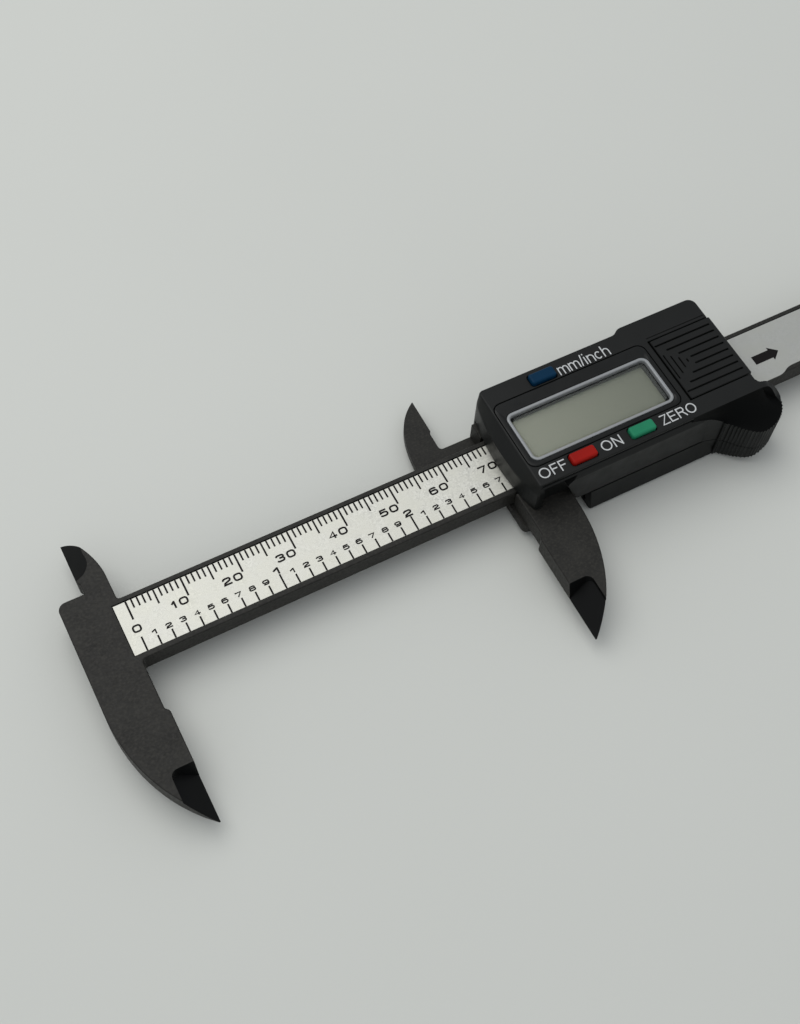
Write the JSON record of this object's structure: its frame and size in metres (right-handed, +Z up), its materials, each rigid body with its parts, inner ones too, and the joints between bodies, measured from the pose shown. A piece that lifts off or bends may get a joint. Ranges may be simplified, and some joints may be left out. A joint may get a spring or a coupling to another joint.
{
  "type": "digital caliper",
  "caption": "Electronic slide caliper: moulded beam with outside and inside jaws, and a sliding housing with display, push buttons, battery cover, thumb grip and depth rod",
  "frame": {"origin": "middle of the footprint, on the surface that the caliper lies on (the underside of the rear housing)", "axes": "+X runs along the beam from the fixed jaws to the depth rod, +Y towards the inside jaws, +Z up out of the display"},
  "size_m": [0.2416, 0.0574, 0.0157],
  "materials": {
    "composite": "matt, fine fibre grain",
    "electrode": "satin, etched copper",
    "label": "silver printed film with a fine sparkle",
    "shell": "satin, lightly textured",
    "surround": "satin",
    "trim": "silver paint",
    "lens": "clear, polished",
    "display": "grey-green reflective liquid crystal panel",
    "mode_blue": "moulded, semi-gloss",
    "power_red": "moulded, semi-gloss",
    "zero_green": "moulded, semi-gloss",
    "steel": "plated",
    "spring_bronze": "rolled strip",
    "board_green": "solder mask on glass fibre",
    "chip_black": "moulded",
    "silicone": "soft, matt"
  },
  "bodies": {
    "beam": {"main_beam": "composite", "scale_circuit": "electrode", "scale_label": "label", "tail_label": "label", "beam_end_stop": "composite", "end_stop_screw_1": "steel", "end_stop_screw_2": "steel"},
    "slider": {"slider_frame": "composite", "depth_rod": "composite", "front_housing": "shell", "rear_housing": "shell", "display_surround": "surround", "display_trim": "trim", "display_lens": "lens", "display_panel": "display", "rear_screw_1": "steel", "rear_screw_2": "steel", "rear_screw_3": "steel", "rear_screw_4": "steel", "board_screw_1": "steel", "board_screw_2": "steel", "button_cell": "steel", "gib_spring": "spring_bronze", "battery_contact": "spring_bronze", "battery_side_contact": "spring_bronze", "circuit_board": "board_green", "controller_chip": "chip_black", "zebra_strip_1": "silicone", "zebra_strip_2": "silicone", "mode_switch": "silicone", "power_switch": "silicone", "zero_switch": "silicone"},
    "mode_button": {"mode_button": "mode_blue"},
    "power_button": {"power_button": "power_red"},
    "zero_button": {"zero_button": "zero_green"},
    "battery_cover": {"battery_cover": "shell"}
  },
  "joints": [
    {"name": "slider_slide", "type": "slide", "parent": "beam", "child": "slider", "axis": [1, 0, 0], "range_m": [-0.0697, 0.0302]},
    {"name": "mode_press", "type": "slide", "parent": "slider", "child": "mode_button", "axis": [0, 0, -1], "range_m": [0, 0.0006], "stiffness_N_per_m": 1000},
    {"name": "power_press", "type": "slide", "parent": "slider", "child": "power_button", "axis": [0, 0, -1], "range_m": [0, 0.0006], "stiffness_N_per_m": 1000},
    {"name": "zero_press", "type": "slide", "parent": "slider", "child": "zero_button", "axis": [0, 0, -1], "range_m": [0, 0.0006], "stiffness_N_per_m": 1000},
    {"name": "battery_cover_slide", "type": "slide", "parent": "slider", "child": "battery_cover", "axis": [1, 0, 0], "range_m": [0, 0.014]}
  ]
}
